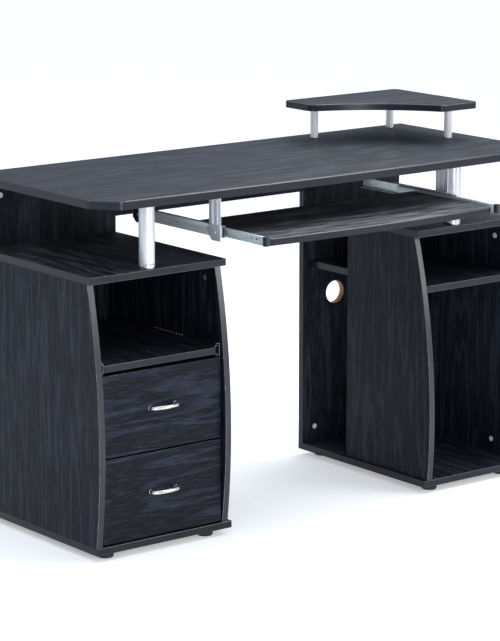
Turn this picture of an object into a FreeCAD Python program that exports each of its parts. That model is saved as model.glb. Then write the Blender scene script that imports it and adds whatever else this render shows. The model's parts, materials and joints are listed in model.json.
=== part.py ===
"""Computer desk with a sliding keyboard tray, two pedestals and a raised corner shelf.

Millimetres.  +X runs to the right along the desktop, +Y to the back, +Z up.  The origin is on
the floor, under the middle of the space the desk takes up with its keyboard tray part way out.
Depths are written as distances from the desktop's back edge towards the front.
"""
import FreeCAD
import Part
import math
import os

os.makedirs("parts", exist_ok=True)
V = FreeCAD.Vector

# ---- overall sizes -----------------------------------------------------------------------
desk_w = 1200.0            # desktop width
desk_t = 18.0              # desktop thickness
desk_h = 755.0             # desktop top above the floor
desk_end_depth = 487.0     # desktop depth at its two ends
desk_bow = 14.0            # how much further the middle of the front edge comes out
desk_cut = 52.0            # corner cut off at the two front corners, each way
desk_cut_r = 24.0          # rounding of the cut's two ends
desk_edge_r = 2.5          # rounding of the desktop's upper edge
board_t = 15.0             # all carcass boards
edge_r = 1.0               # broken edge of the carcass boards
tray_reach = 598.0         # desktop back edge to tray front edge, tray part way out
desk_under = desk_h - desk_t
past = 1.0                 # how far a cutting block reaches past what it cuts
close = 1e-6               # places nearer than this are the same place

# ---- carcass -----------------------------------------------------------------------------
foot_h = 15.0
foot_r = 17.0
foot_inset = 44.0          # foot centre in from the pedestal's sides
foot_setback = 33.0        # foot centre in from the pedestal's front and back
foot_edge_r = 1.5
ped_top = 594.0            # top of both pedestals
ped_floor = foot_h + board_t
ped_ceiling = ped_top - board_t
side_x = 590.0             # outer face of the outermost side panels
overhang = 7.0             # left pedestal's boards past its inner side panel
back_gap = 12.0            # back panels in from the desktop's back edge
back_face = back_gap + board_t
rail_low = 628.0           # lower edge of the rail between the back panels

left_end = -245.0          # inner end of the left pedestal and its back panel
left_base_end = -242.0     # the base board comes a little further in than the top board
left_top_end = -247.5
left_top_depth = 426.0
left_base_depth = 437.0
left_bow = (412.0, 448.0, 436.0)     # side panel depth at top, middle and bottom

right_end = 284.0          # inner end of the right pedestal and its back panel
right_top_end = 273.0      # its top board overhangs further
right_top_depth = 436.0
right_base_depth = 457.0
right_bow = (403.0, 457.0, 459.0)
right_inner_back = 178.0   # the inner right side panel stops here, leaving a cable gap
right_shelf_depth = 424.0
right_shelf_top = 464.0

hole_r = 26.5              # cable hole in the right back panel
hole_x = 379.5
hole_z = 380.5

# ---- columns -----------------------------------------------------------------------------
column_r = 16.5
column_bore = 15.0
column_places = (("left", -435.5, 405.0), ("right", 396.0, 414.0))
ring_r = 18.0
ring_h = 9.0

# ---- raised corner shelf -----------------------------------------------------------------
shelf_top = 840.0
shelf_left = 238.0         # end of the arm along the back
shelf_right = 576.0
shelf_back = 9.0
shelf_front = 297.0        # end of the arm along the right
shelf_arm_left = 92.0      # width of the arm along the back, at its end
shelf_arm_right = 108.0    # width of the arm along the right, at its end
shelf_hollow = 26.0        # how far the slanted front edge curves in
shelf_tip_r = 14.0
shelf_tip_in = 14.0        # the back arm's end is cut back by this much at its front corner
shelf_tip_down = 12.0
post_r = 9.0
post_foot_r = 10.2
post_foot_h = 2.0
post_places = ((297.0, 49.0), (538.0, 33.0), (535.0, 240.0))

# ---- keyboard tray and its slides --------------------------------------------------------
tray_left = -267.0
tray_right = 358.0
tray_top = 660.0
tray_depth = 276.0
tray_bow = 12.0
tray_corner_r = 16.0
tray_edge_r = 2.0
slide_w = 12.0             # width of a pair of slide members
slide_wall = 1.2           # sheet thickness of the slide members
outer_lip_back = 2.0       # outer member's lips stop this far short of the full width
inner_lip_out = 4.0        # inner member's lips reach to this far from the wall
cage_lip_back = 0.5        # cage's lips stop this far short of the outer member's
running_gap = 0.35         # between members that move past each other
kb_outer_h = 24.6
kb_inner_h = 17.6
kb_slide_z = tray_top - 3.6
kb_slide_back = 138.0
kb_slide_len = 315.0
kb_inner_front = 598.0
kb_cage_len = 190.0        # long enough to show past the outer members
stop_len = 12.0            # black stop on the front end of the inner members
stop_clear = 2.0           # stop in from the outer member's wall
stop_proud = 0.8           # stop above and below the inner member
hanger_t = 2.0
hanger_w = 39.0
hanger_flange = 26.0
hanger_low = 636.0
hanger_chamfer = 9.0
hanger_depths = (("left", 143.0, 411.5), ("right", 140.0, 385.0))    # rear and front hangers
rib_h = 1.6
rib_w = 6.0
rib_places = (0.3, 0.7)    # rib middles as shares of the hanger's width
rib_slope = 0.8            # chamfer of the rib's long edges as a share of its height
hanger_screw_drop = 2.4    # screw below the middle of the slide

# ---- pull-out shelf and drawers of the left pedestal -------------------------------------
inner_left = -side_x + board_t
inner_right = left_end - overhang - board_t
pull_top = 410.0
pull_front = 431.0
pull_back = 75.0
pull_slide_z = 404.0
pull_slide_h = 27.0
pull_inner_h = 19.0
pull_slide_len = 350.0
pull_slide_in = 2.0        # slide behind the shelf's front edge
side_cage_len = 120.0      # ball cages of the pull-out shelf and the drawers
front_gap = 2.5            # gap round the drawer fronts
front_face = 436.0
front_t = 15.0
drawer_low = ((217.0, 389.0), (35.0, 213.0))    # bottom and top of each drawer front
drawer_box_len = 360.0
drawer_box_rise = 22.0     # box bottom above the drawer front's bottom edge
drawer_box_h = 118.0
drawer_wall = 12.0
drawer_bottom_t = 4.0
drawer_bottom_rise = 2.0   # bottom sheet above the box's lower edge
drawer_slide_in = 1.0      # slide behind the back of the drawer front
drawer_slide_h = 35.0
drawer_inner_h = 25.0
drawer_slide_rise = 30.0   # slide centre above the box bottom
handle_pitch = 64.0
handle_out = 21.0
handle_r = 4.6
handle_lean = 16.0         # slope of the bow where it meets the bends, degrees
handle_bend_r = 8.0
handle_foot_r = 5.0
handle_foot_t = 1.6
handle_rise = 5.0          # handle above the middle of its drawer front

# ---- small fittings ----------------------------------------------------------------------
cam_r = 6.0
cam_t = 1.2
screw_r = 3.6
screw_t = 1.4
cam_in = 36.0              # cap centre in from the panel's end
cam_in_left = 32.0         # the same, at the left end of the left back panel
rail_cam_z = 705.0
bay_cam_low = 63.0         # caps on the outer right side panel
bay_cam_high = 540.0
bay_cam_depths = (360.0, 110.0)
base_cam_z = 66.0          # cap low on the right back panel
niche_cam_depth = 378.0    # cap in the open compartment of the left pedestal
niche_cam_z = 549.0

y_back = tray_reach / 2.0


def box(x0, x1, d0, d1, z0, z1):
    """A block between two x, two depths from the back edge and two heights."""
    return Part.makeBox(x1 - x0, d1 - d0, z1 - z0, V(x0, y_back - d1, z0))


def cylinder(x, d, z, r, h, direction=V(0, 0, 1)):
    """A cylinder from the given place along the given direction."""
    return Part.makeCylinder(r, h, V(x, y_back - d, z), direction)


def prism(points, z0, z1):
    """A flat plate from (x, depth) corners between two heights."""
    ring = [V(x, y_back - d, z0) for x, d in points]
    return Part.Face(Part.makePolygon(ring + ring[:1])).extrude(V(0, 0, z1 - z0))


def upright_edges(solid, test):
    """The solid's vertical edges whose (x, depth) passes the test."""
    found = []
    for edge in solid.Edges:
        ends = [v.Point for v in edge.Vertexes]
        if len(ends) == 2 and abs(ends[0].x - ends[1].x) < close and abs(ends[0].y - ends[1].y) < close:
            if test(ends[0].x, y_back - ends[0].y):
                found.append(edge)
    return found


def break_top(solid, z, r):
    """Round off every edge lying in the level plane at height z."""
    rim = [e for e in solid.Edges if all(abs(v.Point.z - z) < close for v in e.Vertexes)]
    rim = [e for e in rim if e.BoundBox.ZLength < close]
    return solid.makeFillet(r, rim)


def board(x0, x1, d0, d1, z0, z1):
    """A carcass board with its front edges broken."""
    blank = box(x0, x1, d0, d1, z0, z1)
    y_front = y_back - d1
    front = [e for e in blank.Edges if all(abs(v.Point.y - y_front) < close for v in e.Vertexes)]
    return blank.makeFillet(edge_r, front)


def save(name, *shapes):
    """Write one node; several separate solids go in as one compound."""
    solids = [s for shape in shapes for s in shape.Solids]
    shape = solids[0] if len(solids) == 1 else Part.makeCompound(solids)
    shape.exportStep("parts/" + name + ".step")


# ==== desktop and what carries it =========================================================
half_w = desk_w / 2.0
front_mid = desk_end_depth + desk_bow


def bowed_plate(x0, x1, back, end_depth, bow, z0, z1):
    """A plate whose front edge is an arc, deepest in the middle."""
    a = V(x0, y_back - back, z0)
    b = V(x1, y_back - back, z0)
    c = V(x1, y_back - end_depth, z0)
    m = V((x0 + x1) / 2.0, y_back - end_depth - bow, z0)
    d = V(x0, y_back - end_depth, z0)
    sides = [Part.makeLine(a, b), Part.makeLine(b, c), Part.Arc(c, m, d).toShape(), Part.makeLine(d, a)]
    return Part.Face(Part.Wire(sides)).extrude(V(0, 0, z1 - z0))


top = bowed_plate(-half_w, half_w, 0.0, desk_end_depth, desk_bow, desk_under, desk_h)
for sign in (-1.0, 1.0):
    corner = [(sign * (half_w - desk_cut), front_mid + past),
              (sign * (half_w + past), front_mid + past),
              (sign * (half_w + past), desk_end_depth - desk_cut)]
    top = top.cut(prism(corner, desk_under - past, desk_h + past))
top = top.removeSplitter().Solids[0]
near_cut = upright_edges(top, lambda x, d: d > desk_end_depth / 2.0)
top = top.makeFillet(desk_cut_r, near_cut)
save("desktop", break_top(top, desk_h, desk_edge_r))

save("rear_rail", box(left_end, right_end, back_gap, back_face, rail_low, desk_under))
save("back_panel_left", box(inner_left, left_end, back_gap, back_face, ped_floor, desk_under))
right_back = box(right_end, side_x - board_t, back_gap, back_face, ped_floor, desk_under)
hole = cylinder(hole_x, back_face + past, hole_z, hole_r, board_t + 2.0 * past, V(0, 1, 0))
save("back_panel_right", right_back.cut(hole))

rings = []
column_len = desk_under - ped_top
for side, x, d in column_places:
    tube = cylinder(x, d, ped_top, column_r, column_len)
    save("column_" + side, tube.cut(cylinder(x, d, ped_top, column_bore, column_len)))
    for z in (ped_top, desk_under - ring_h):
        ring = cylinder(x, d, z, ring_r, ring_h)
        rings.append(ring.cut(cylinder(x, d, z, column_r, ring_h)))
save("column_rings", *rings)


# ==== pedestals ===========================================================================
def bowed_side(x0, bow, d_back):
    """An upright side panel whose front edge curves forward between its ends."""
    at_top, at_middle, at_bottom = bow
    a = V(x0, y_back - d_back, ped_floor)
    b = V(x0, y_back - d_back, ped_ceiling)
    c = V(x0, y_back - at_top, ped_ceiling)
    m = V(x0, y_back - at_middle, (ped_floor + ped_ceiling) / 2.0)
    d = V(x0, y_back - at_bottom, ped_floor)
    sides = [Part.makeLine(a, b), Part.makeLine(b, c), Part.Arc(c, m, d).toShape(), Part.makeLine(d, a)]
    blank = Part.Face(Part.Wire(sides)).extrude(V(board_t, 0, 0))
    curved = [e for e in blank.Edges if e.Curve.TypeId == "Part::GeomCircle"]
    return blank.makeFillet(edge_r, curved)


def notched_board(x0, x1, outer_x, depth, z0):
    """A pedestal top board, with a corner reaching back past the end of the back panel."""
    main = board(x0, x1, back_face, depth, z0, z0 + board_t)
    strip = sorted((outer_x, outer_x - board_t if outer_x > 0 else outer_x + board_t))
    ear = box(strip[0], strip[1], back_gap, back_face, z0, z0 + board_t)
    return main.fuse(ear).removeSplitter()


def feet(x0, x1, depth):
    """The four round feet under a pedestal."""
    discs = []
    for x in (x0 + foot_inset, x1 - foot_inset):
        for d in (back_gap + foot_setback, depth - foot_setback):
            disc = cylinder(x, d, 0.0, foot_r, foot_h)
            discs.append(break_top(disc, 0.0, foot_edge_r))
    return discs


save("left_top", notched_board(-side_x, left_top_end, -side_x, left_top_depth, ped_ceiling))
save("left_base", board(-side_x, left_base_end, back_gap, left_base_depth, foot_h, ped_floor))
save("left_side_outer", bowed_side(-side_x, left_bow, back_gap))
save("left_side_inner", bowed_side(inner_right, left_bow, back_face))
save("left_feet", *feet(-side_x, left_end, left_base_depth))

right_inner = right_end + overhang
save("right_top", notched_board(right_top_end, side_x, side_x, right_top_depth, ped_ceiling))
save("right_base", board(right_end, side_x, back_gap, right_base_depth, foot_h, ped_floor))
save("right_side_outer", bowed_side(side_x - board_t, right_bow, back_gap))
save("right_side_inner", bowed_side(right_inner, right_bow, right_inner_back))
save("right_shelf", board(right_inner + board_t, side_x - board_t, back_face, right_shelf_depth,
                          right_shelf_top - board_t, right_shelf_top))
save("right_feet", *feet(right_end, side_x, right_base_depth))

# ==== raised corner shelf =================================================================
shelf_low = shelf_top - board_t
tip_left = (shelf_left + shelf_tip_in, shelf_back + shelf_arm_left + shelf_tip_down)
tip_right = (shelf_right - shelf_arm_right, shelf_front)
outline = [(shelf_left, shelf_back), (shelf_right, shelf_back), (shelf_right, shelf_front), tip_right,
           tip_left, (shelf_left, shelf_back + shelf_arm_left)]
ring = [V(x, y_back - d, shelf_low) for x, d in outline]
chord_mid = (ring[3] + ring[4]) * 0.5
inward = V(ring[1].x - chord_mid.x, ring[1].y - chord_mid.y, 0).normalize()
sides = [Part.makeLine(ring[0], ring[1]), Part.makeLine(ring[1], ring[2]), Part.makeLine(ring[2], ring[3]),
         Part.Arc(ring[3], chord_mid + inward * shelf_hollow, ring[4]).toShape(),
         Part.makeLine(ring[4], ring[5]), Part.makeLine(ring[5], ring[0])]
raised = Part.Face(Part.Wire(sides)).extrude(V(0, 0, board_t))
ends = upright_edges(raised, lambda x, d: abs(x - tip_left[0]) > past)
raised = raised.makeFillet(shelf_tip_r, ends)
save("raised_shelf", break_top(raised, shelf_top, tray_edge_r))

posts = []
post_feet = []
for x, d in post_places:
    posts.append(cylinder(x, d, desk_h + post_foot_h, post_r, shelf_low - desk_h - 2.0 * post_foot_h))
    post_feet.append(cylinder(x, d, desk_h, post_foot_r, post_foot_h))
    post_feet.append(cylinder(x, d, shelf_low - post_foot_h, post_foot_r, post_foot_h))
save("raised_posts", *posts)
save("raised_post_flanges", *post_feet)


# ==== slides ==============================================================================
def channel(x_web, x_lip, half_h, wall, d0, d1, z):
    """A C-shaped slide member lying along the depth, its web at x_web and its lips at x_lip."""
    toward = 1.0 if x_lip > x_web else -1.0
    outer = sorted((x_web, x_lip))
    body = box(outer[0], outer[1], d0, d1, z - half_h, z + half_h)
    inside = sorted((x_web + toward * wall, x_lip + toward * past))
    return body.cut(box(inside[0], inside[1], d0 - past, d1 + past, z - half_h + wall, z + half_h - wall))


def slide_set(x_wall, toward, z, outer_h, inner_h, d0, length, inner_d0, cage_d0, cage_len):
    """Outer member, ball cage and inner member of one slide, fixed to a wall at x_wall."""
    x_far = x_wall + toward * slide_w
    lip = slide_w - outer_lip_back
    outer = channel(x_wall, x_wall + toward * lip, outer_h / 2.0, slide_wall, d0, d0 + length, z)
    inner_lip = x_wall + toward * inner_lip_out
    inner = channel(x_far, inner_lip, inner_h / 2.0, slide_wall, inner_d0, inner_d0 + length, z)
    cage_half = outer_h / 2.0 - slide_wall - running_gap
    cage_wall = cage_half - inner_h / 2.0 - running_gap
    cage = channel(x_wall + toward * (slide_wall + running_gap), x_wall + toward * (lip - cage_lip_back),
                   cage_half, cage_wall, cage_d0, cage_d0 + cage_len, z)
    web_cut = sorted((x_wall + toward * (inner_lip_out - running_gap), x_wall + toward * lip))
    cage = cage.cut(box(web_cut[0], web_cut[1], cage_d0 - past, cage_d0 + cage_len + past,
                        z - inner_h / 2.0 - running_gap, z + inner_h / 2.0 + running_gap))
    return outer, cage, inner


# ==== keyboard tray =======================================================================
tray_back = tray_reach - tray_depth
plate = bowed_plate(tray_left, tray_right, tray_back, tray_reach - tray_bow, tray_bow,
                    tray_top - board_t, tray_top)
plate = plate.makeFillet(tray_corner_r, upright_edges(plate, lambda x, d: d > tray_reach - 2.0 * tray_bow))
save("keyboard_tray", break_top(plate, tray_top, tray_edge_r))

kb_inner_back = kb_inner_front - stop_len - kb_slide_len
kb_overlap_mid = (kb_inner_back + kb_slide_back + kb_slide_len) / 2.0
kb_cages = []
stops = []
hanger_screws = []
edges = {"left": (tray_left, 1.0), "right": (tray_right, -1.0)}
for side, rear_depth, front_depth in hanger_depths:
    x_edge, toward = edges[side]
    x_wall = x_edge - toward * slide_w
    outer, cage, inner = slide_set(x_wall, toward, kb_slide_z, kb_outer_h, kb_inner_h, kb_slide_back,
                                   kb_slide_len, kb_inner_back, kb_overlap_mid - kb_cage_len / 2.0,
                                   kb_cage_len)
    save("tray_slide_outer_" + side, outer)
    save("tray_slide_inner_" + side, inner)
    kb_cages.append(cage)
    stop_x = sorted((x_edge, x_wall + toward * stop_clear))
    stop_half = kb_inner_h / 2.0 + stop_proud
    stops.append(box(stop_x[0], stop_x[1], kb_inner_front - stop_len, kb_inner_front,
                     kb_slide_z - stop_half, kb_slide_z + stop_half))
    for place, d0 in (("front", front_depth), ("rear", rear_depth)):
        d1 = d0 + hanger_w
        sheet = sorted((x_wall, x_wall - toward * hanger_t))
        web = box(sheet[0], sheet[1], d0, d1, hanger_low, desk_under)
        low_rear = [e for e in web.Edges if e.BoundBox.XLength > hanger_t - close
                    and e.BoundBox.ZMax < hanger_low + close and e.BoundBox.YMax > y_back - d0 - close]
        web = web.makeChamfer(hanger_chamfer, low_rear)
        flange_x = sorted((x_wall - toward * hanger_t, x_wall + toward * hanger_flange))
        hanger = web.fuse(box(flange_x[0], flange_x[1], d0, d1, desk_under - hanger_t, desk_under))
        for share in rib_places:
            rib_mid = d0 + share * hanger_w
            rib_x = sorted((x_wall - toward * hanger_t, x_wall - toward * (hanger_t + rib_h)))
            rib = box(rib_x[0], rib_x[1], rib_mid - rib_w / 2.0, rib_mid + rib_w / 2.0,
                      kb_slide_z + kb_outer_h / 2.0, desk_under - hanger_t)
            long_edges = [e for e in rib.Edges if e.BoundBox.ZLength > rib_w * 2.0
                          and abs(e.Vertexes[0].Point.x - (x_wall - toward * (hanger_t + rib_h))) < close]
            hanger = hanger.fuse(rib.makeChamfer(rib_h * rib_slope, long_edges))
        save("tray_hanger_" + place + "_" + side, hanger.removeSplitter())
        head = cylinder(x_wall - toward * hanger_t, (d0 + d1) / 2.0, kb_slide_z - hanger_screw_drop,
                        screw_r, screw_t, V(-toward, 0, 0))
        hanger_screws.append(head)
save("tray_slide_cages", *kb_cages)
save("tray_slide_stops", *stops)
save("tray_hanger_screws", *hanger_screws)


# ==== pull-out shelf and drawers ==========================================================
def side_slides(name, z, outer_h, inner_h, d0, length):
    """Write the closed slides on both inner walls of the left pedestal, as three nodes."""
    cage_d0 = d0 + (length - side_cage_len) / 2.0
    sets = []
    for x_wall, toward in ((inner_left, 1.0), (inner_right, -1.0)):
        sets.append(slide_set(x_wall, toward, z, outer_h, inner_h, d0, length, d0, cage_d0, side_cage_len))
    save(name + "_slides_outer", *[s[0] for s in sets])
    save(name + "_slide_cages", *[s[1] for s in sets])
    save(name + "_slides_inner", *[s[2] for s in sets])


def bow_handle(x_mid, z):
    """A bowed bar handle with two round feet, standing on the drawer fronts' face."""
    half = handle_pitch / 2.0
    lean = math.radians(handle_lean)
    bow_r = (half - handle_bend_r * (1.0 - math.sin(lean))) / math.sin(lean)
    peak = handle_out - handle_r
    end_out = peak - bow_r * (1.0 - math.cos(lean))
    leg_out = end_out - handle_bend_r * math.cos(lean)

    def at(x, out):
        return V(x_mid + x, y_back - front_face - out, z)

    def bend(side, turn):
        return at(side * (half - handle_bend_r * (1.0 - math.cos(turn))),
                  leg_out + handle_bend_r * math.sin(turn))

    full_turn = math.pi / 2.0 - lean
    feet_end = [at(side * half, handle_foot_t) for side in (-1.0, 1.0)]
    legs = [at(side * half, leg_out) for side in (-1.0, 1.0)]
    path = [Part.makeLine(feet_end[0], legs[0]),
            Part.Arc(legs[0], bend(-1.0, full_turn / 2.0), bend(-1.0, full_turn)).toShape(),
            Part.Arc(bend(-1.0, full_turn), at(0.0, peak), bend(1.0, full_turn)).toShape(),
            Part.Arc(bend(1.0, full_turn), bend(1.0, full_turn / 2.0), legs[1]).toShape(),
            Part.makeLine(legs[1], feet_end[1])]
    section = Part.Wire(Part.makeCircle(handle_r, feet_end[0], V(0, 1, 0)))
    bar = Part.Wire(path).makePipeShell([section], True, True)
    for side in (-1.0, 1.0):
        bar = bar.fuse(cylinder(x_mid + side * half, front_face, z, handle_foot_r, handle_foot_t,
                                V(0, -1, 0)))
    return bar.removeSplitter()


save("pull_out_shelf", board(inner_left + slide_w, inner_right - slide_w, pull_back, pull_front,
                             pull_top - board_t, pull_top))
side_slides("pull_out", pull_slide_z, pull_slide_h, pull_inner_h,
            pull_front - pull_slide_in - pull_slide_len, pull_slide_len)

front_x0 = inner_left + front_gap
front_x1 = inner_right - front_gap
middle_x = (front_x0 + front_x1) / 2.0
front_back = front_face - front_t
box_x0 = inner_left + slide_w
box_x1 = inner_right - slide_w
for name, (low, high) in zip(("upper", "lower"), drawer_low):
    face = box(front_x0, front_x1, front_back, front_face, low, high)
    save("drawer_" + name + "_front", face.makeFillet(edge_r, [
        e for e in face.Edges if all(abs(v.Point.y - (y_back - front_face)) < close for v in e.Vertexes)]))
    box_low = low + drawer_box_rise
    box_high = box_low + drawer_box_h
    shell = box(box_x0, box_x1, front_back - drawer_box_len, front_back, box_low, box_high)
    inside = box(box_x0 + drawer_wall, box_x1 - drawer_wall, front_back - drawer_box_len + drawer_wall,
                 front_back + past, box_low - past, box_high + past)
    save("drawer_" + name + "_box", shell.cut(inside))
    save("drawer_" + name + "_bottom", box(box_x0 + drawer_wall, box_x1 - drawer_wall,
                                           front_back - drawer_box_len + drawer_wall, front_back,
                                           box_low + drawer_bottom_rise,
                                           box_low + drawer_bottom_rise + drawer_bottom_t))
    side_slides("drawer_" + name, box_low + drawer_slide_rise, drawer_slide_h, drawer_inner_h,
                front_back - drawer_slide_in - drawer_box_len, drawer_box_len)
    grip_z = (low + high) / 2.0 + handle_rise
    save("drawer_" + name + "_handle", bow_handle(middle_x, grip_z))

# ==== caps over the cam fittings ==================================================================
heads = []
for x, z in ((inner_left + cam_in_left, rail_cam_z), (left_end - cam_in, rail_cam_z),
             (right_end + cam_in, base_cam_z), (right_end + cam_in, rail_cam_z)):
    heads.append(cylinder(x, back_face, z, cam_r, cam_t, V(0, -1, 0)))
for d in bay_cam_depths:
    for z in (bay_cam_high, bay_cam_low):
        heads.append(cylinder(side_x - board_t, d, z, cam_r, cam_t, V(-1, 0, 0)))
heads.append(cylinder(inner_right, niche_cam_depth, niche_cam_z, cam_r, cam_t, V(-1, 0, 0)))
save("cam_heads", *heads)
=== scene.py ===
import json
import logging
import math
from collections.abc import Callable, Iterator, Sequence
from contextlib import contextmanager
from dataclasses import dataclass, field
from enum import Enum

import bmesh
import bpy
from mathutils import Matrix, Vector


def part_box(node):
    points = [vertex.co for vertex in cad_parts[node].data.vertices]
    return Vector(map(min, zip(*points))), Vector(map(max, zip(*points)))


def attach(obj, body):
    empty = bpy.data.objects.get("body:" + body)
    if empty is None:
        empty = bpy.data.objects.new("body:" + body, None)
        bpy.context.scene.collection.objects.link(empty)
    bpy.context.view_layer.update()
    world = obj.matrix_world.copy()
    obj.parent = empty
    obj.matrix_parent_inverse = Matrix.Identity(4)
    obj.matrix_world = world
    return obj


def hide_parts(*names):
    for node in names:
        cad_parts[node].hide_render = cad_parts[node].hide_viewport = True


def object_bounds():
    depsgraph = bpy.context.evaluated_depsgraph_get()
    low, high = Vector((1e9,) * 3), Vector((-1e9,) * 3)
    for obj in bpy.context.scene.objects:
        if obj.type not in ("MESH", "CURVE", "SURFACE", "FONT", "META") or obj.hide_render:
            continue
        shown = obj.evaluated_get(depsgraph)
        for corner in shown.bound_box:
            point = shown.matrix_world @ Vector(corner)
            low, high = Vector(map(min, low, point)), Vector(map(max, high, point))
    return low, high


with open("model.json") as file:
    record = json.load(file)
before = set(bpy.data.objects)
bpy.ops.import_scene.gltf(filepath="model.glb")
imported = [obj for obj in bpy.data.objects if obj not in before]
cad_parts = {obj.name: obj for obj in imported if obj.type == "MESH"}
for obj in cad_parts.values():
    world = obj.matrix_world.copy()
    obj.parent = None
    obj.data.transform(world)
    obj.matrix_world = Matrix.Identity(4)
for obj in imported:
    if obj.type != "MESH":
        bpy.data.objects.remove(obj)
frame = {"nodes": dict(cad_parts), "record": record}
CAD_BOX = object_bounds()
LOG = logging.getLogger("computer_desk")
MM = 0.001

BODY_OF = {node: body for body, nodes in frame["record"]["behaviour"]["bodies"].items() for node in nodes}


class Axis(Enum):
    """The three directions of the desk: along it, front to back, and up."""

    X = 0
    Y = 1
    Z = 2


class Part(Enum):
    """What a selection is made of, with Blender's own word for it."""

    CORNERS = "VERT"
    EDGES = "EDGE"
    FACES = "FACE"


# How strongly upright boards reflect.  The foil is the same on every board; this is matched, as the upright ones
# look nearly black beside the level ones.
UPRIGHT_GLOSS = 0.14

# Turn that brings each grain direction on to the pattern's own X.
GRAIN_TURN = {Axis.X: (0.0, 0.0, 0.0), Axis.Y: (0.0, 0.0, -math.pi / 2), Axis.Z: (0.0, math.pi / 2, 0.0)}


# ---------------------------------------------------------------------------------------------
# Node and colour helpers
# ---------------------------------------------------------------------------------------------
def linear(colour: str) -> tuple[float, float, float, float]:
    """Turn an sRGB hex colour into linear light.

    Args:
        colour: six hex digits after a hash sign.

    Returns:
        Red, green, blue and an alpha of one.
    """
    parts = [int(colour[i:i + 2], 16) / 255.0 for i in (1, 3, 5)]
    red, green, blue = (c / 12.92 if c <= 0.04045 else ((c + 0.055) / 1.055) ** 2.4 for c in parts)
    return (red, green, blue, 1.0)


def add_node(tree: bpy.types.NodeTree, kind: str, settings: dict | None = None,
             values: dict | None = None, links: dict | None = None) -> bpy.types.Node:
    """Add a node with its settings, input values and links.

    Args:
        tree: the node tree that gets the node.
        kind: Blender's name for the node.
        settings: node attributes by name.
        values: input values by socket name or number.
        links: sockets to link from, by input name or number.

    Returns:
        The new node.
    """
    node = tree.nodes.new(kind)
    for name, value in (settings or {}).items():
        setattr(node, name, value)
    for key, value in (values or {}).items():
        node.inputs[key].default_value = value
    for key, source in (links or {}).items():
        tree.links.new(source, node.inputs[key])
    return node


def add_ramp(tree: bpy.types.NodeTree, source: bpy.types.NodeSocket,
             stops: Sequence[tuple[float, tuple[float, float, float, float]]]) -> bpy.types.NodeSocket:
    """Send a value through a colour ramp.

    Args:
        tree: the node tree.
        source: the value's socket.
        stops: place and colour of each stop, in rising order.

    Returns:
        The ramp's colour socket.
    """
    ramp = add_node(tree, "ShaderNodeValToRGB", links={"Fac": source}).color_ramp
    while len(ramp.elements) < len(stops):
        ramp.elements.new(1.0)
    for element, (place, colour) in zip(ramp.elements, stops):
        element.position = place
        element.color = colour
    return tree.nodes[-1].outputs["Color"]


def facing_size(tree: bpy.types.NodeTree, place: bpy.types.Node, axis: Axis) -> bpy.types.NodeSocket:
    """Measure how squarely a surface faces along an axis, either way.

    Args:
        tree: the node tree.
        place: its texture coordinates.
        axis: the direction.

    Returns:
        One where the surface faces along the axis and nothing where it lies along it.
    """
    parts = add_node(tree, "ShaderNodeSeparateXYZ", links={"Vector": place.outputs["Normal"]})
    size = add_node(tree, "ShaderNodeMath", {"operation": "ABSOLUTE"}, links={0: parts.outputs[axis.value]})
    return size.outputs[0]


def grey(value: float) -> tuple[float, float, float, float]:
    """Give a linear grey of the given value."""
    return (value, value, value, 1.0)


# ---------------------------------------------------------------------------------------------
# Finishes
# ---------------------------------------------------------------------------------------------
@dataclass(frozen=True)
class Finish:
    """A surface finish that builds its material the first time it is asked for."""

    title: str

    def build(self, tree: bpy.types.NodeTree, shader: bpy.types.Node) -> None:
        """Set up the shader; each finish has its own way.

        Args:
            tree: the material's node tree.
            shader: its main shader.
        """
        raise NotImplementedError

    def material(self) -> bpy.types.Material:
        """Make the finish's material the first time and find it again afterwards.

        Returns:
            The material.
        """
        found = bpy.data.materials.get(self.title)
        if found is None:
            found = bpy.data.materials.new(self.title)
            found.use_nodes = True
            self.build(found.node_tree, found.node_tree.nodes["Principled BSDF"])
        return found


@dataclass(frozen=True)
class CableHole:
    """A round hole through a board: its axis and radius, and the size of the chips in its bare wall."""

    x: float
    z: float
    radius: float
    chip: float = 2.5 * MM
    reach: float = 0.4 * MM


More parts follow.
